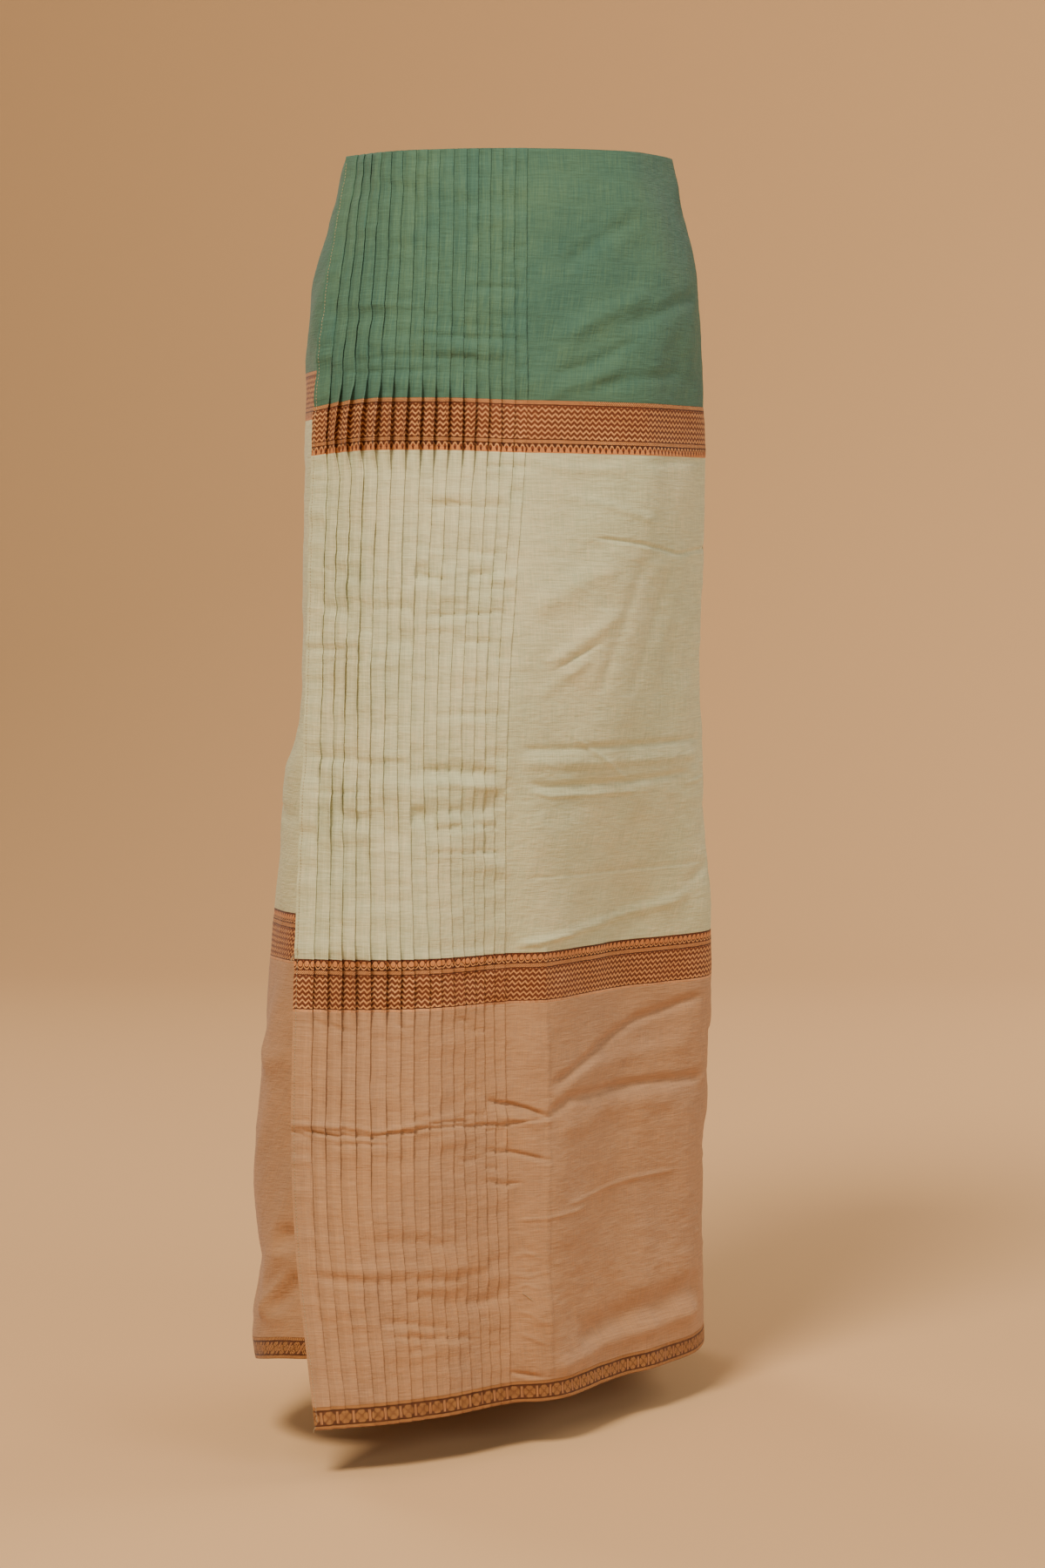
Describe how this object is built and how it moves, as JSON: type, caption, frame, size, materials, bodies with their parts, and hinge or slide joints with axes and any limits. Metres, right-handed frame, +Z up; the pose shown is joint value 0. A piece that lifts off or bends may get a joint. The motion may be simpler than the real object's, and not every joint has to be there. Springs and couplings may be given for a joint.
{
  "type": "wrapped dhoti",
  "caption": "Ankle-length wrapped cotton dhoti, open at waist and hem, its outer end in narrow vertical knife pleats at the front, with woven colour zones and borders.",
  "frame": {"origin": "centre of the waist opening, where the wearer's waist holds the wrap", "axes": "+Z up the wearer's body, -Y out of the pleated front, +X to the viewer's right"},
  "size_m": [0.3889, 0.5131, 1.0235],
  "materials": {
    "green_cotton": "matt plain-weave handloom cotton, muted green",
    "upper_border": "cotton woven with rust and ochre supplementary threads",
    "sage_cotton": "matt plain-weave handloom cotton, pale sage",
    "lower_border": "cotton woven with rust and ochre supplementary threads",
    "tan_cotton": "matt plain-weave handloom cotton, warm tan",
    "hem_border": "cotton woven with brown and ochre supplementary threads"
  },
  "bodies": {
    "root": {"pleats_green": "green_cotton", "pleats_upper_border": "upper_border", "pleats_sage": "sage_cotton", "pleats_lower_border": "lower_border", "pleats_tan": "tan_cotton", "pleats_hem_border": "hem_border", "front_green": "green_cotton", "front_upper_border": "upper_border", "front_sage": "sage_cotton", "front_lower_border": "lower_border", "front_tan": "tan_cotton", "front_hem_border": "hem_border", "back_green": "green_cotton", "back_upper_border": "upper_border", "back_sage": "sage_cotton", "back_lower_border": "lower_border", "back_tan": "tan_cotton", "back_hem_border": "hem_border", "underlap_green": "green_cotton", "underlap_upper_border": "upper_border", "underlap_sage": "sage_cotton", "underlap_lower_border": "lower_border", "underlap_tan": "tan_cotton", "underlap_hem_border": "hem_border"}
  },
  "joints": []
}
